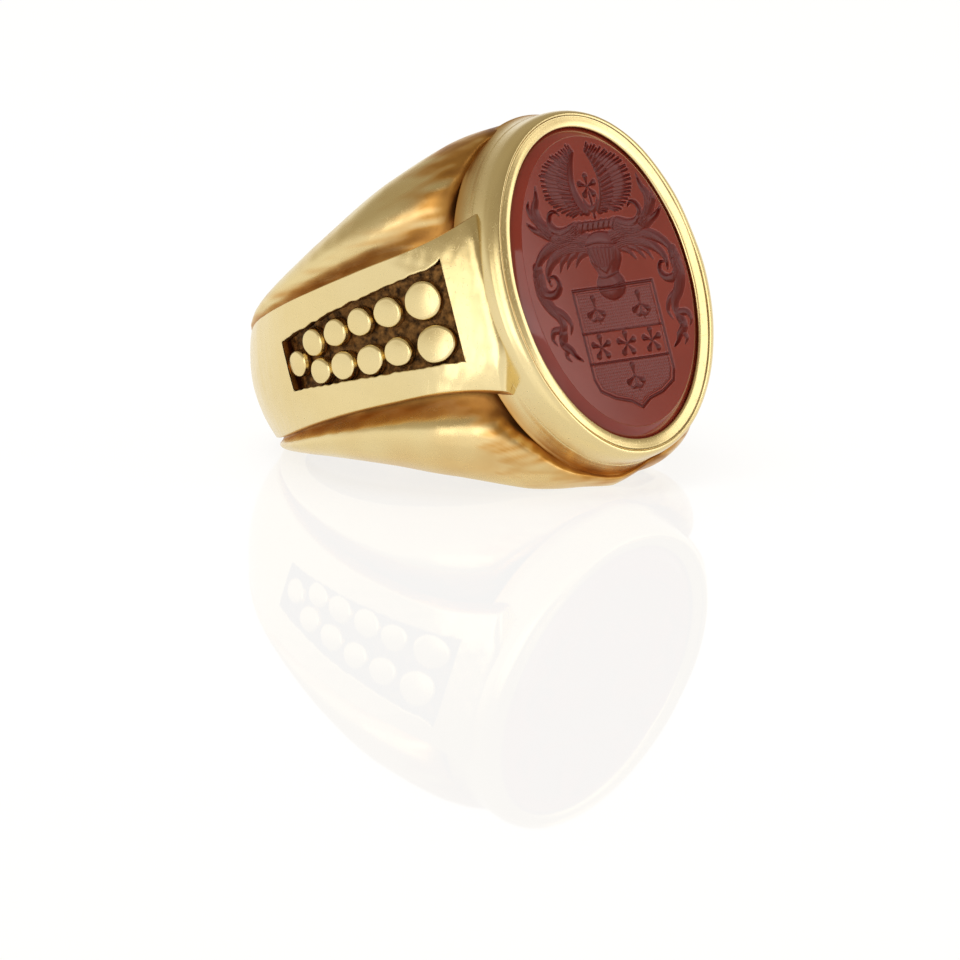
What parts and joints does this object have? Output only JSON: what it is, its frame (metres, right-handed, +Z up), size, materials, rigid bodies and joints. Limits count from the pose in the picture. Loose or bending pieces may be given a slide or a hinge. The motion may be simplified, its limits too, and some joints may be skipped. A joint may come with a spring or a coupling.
{
  "type": "signet ring",
  "caption": "Heavy yellow-gold signet ring with an oval engraved carnelian in a domed bezel, fluted shoulders and raised straps framing sunk panels of gold beads.",
  "frame": {"origin": "bottom centre of the ring's box as it lies on its side on a table", "axes": "+Z up, the stone's face towards -Y and tilted up by 21.9 degrees, X across the two shoulders"},
  "size_m": [0.0246, 0.0266, 0.0202],
  "materials": {
    "gold": "worn polished 18 ct yellow gold with brown patina in the grooves",
    "oxidised_gold": "blackened gold floor behind the beads",
    "carnelian": "polished dark red-brown carnelian with a satin engraving"
  },
  "bodies": {
    "root": {"shank": "gold", "bezel_gallery": "gold", "bezel_rim": "gold", "bezel_collet": "gold", "stone_bearing": "gold", "intaglio_stone": "carnelian", "right_shoulder_strap": "gold", "right_panel_floor": "oxidised_gold", "right_bead_01": "gold", "right_bead_02": "gold", "right_bead_03": "gold", "right_bead_04": "gold", "right_bead_05": "gold", "right_bead_06": "gold", "right_bead_07": "gold", "right_bead_08": "gold", "right_bead_09": "gold", "right_bead_10": "gold", "right_bead_11": "gold", "left_shoulder_strap": "gold", "left_panel_floor": "oxidised_gold", "left_bead_01": "gold", "left_bead_02": "gold", "left_bead_03": "gold", "left_bead_04": "gold", "left_bead_05": "gold", "left_bead_06": "gold", "left_bead_07": "gold", "left_bead_08": "gold", "left_bead_09": "gold", "left_bead_10": "gold", "left_bead_11": "gold"}
  },
  "joints": []
}
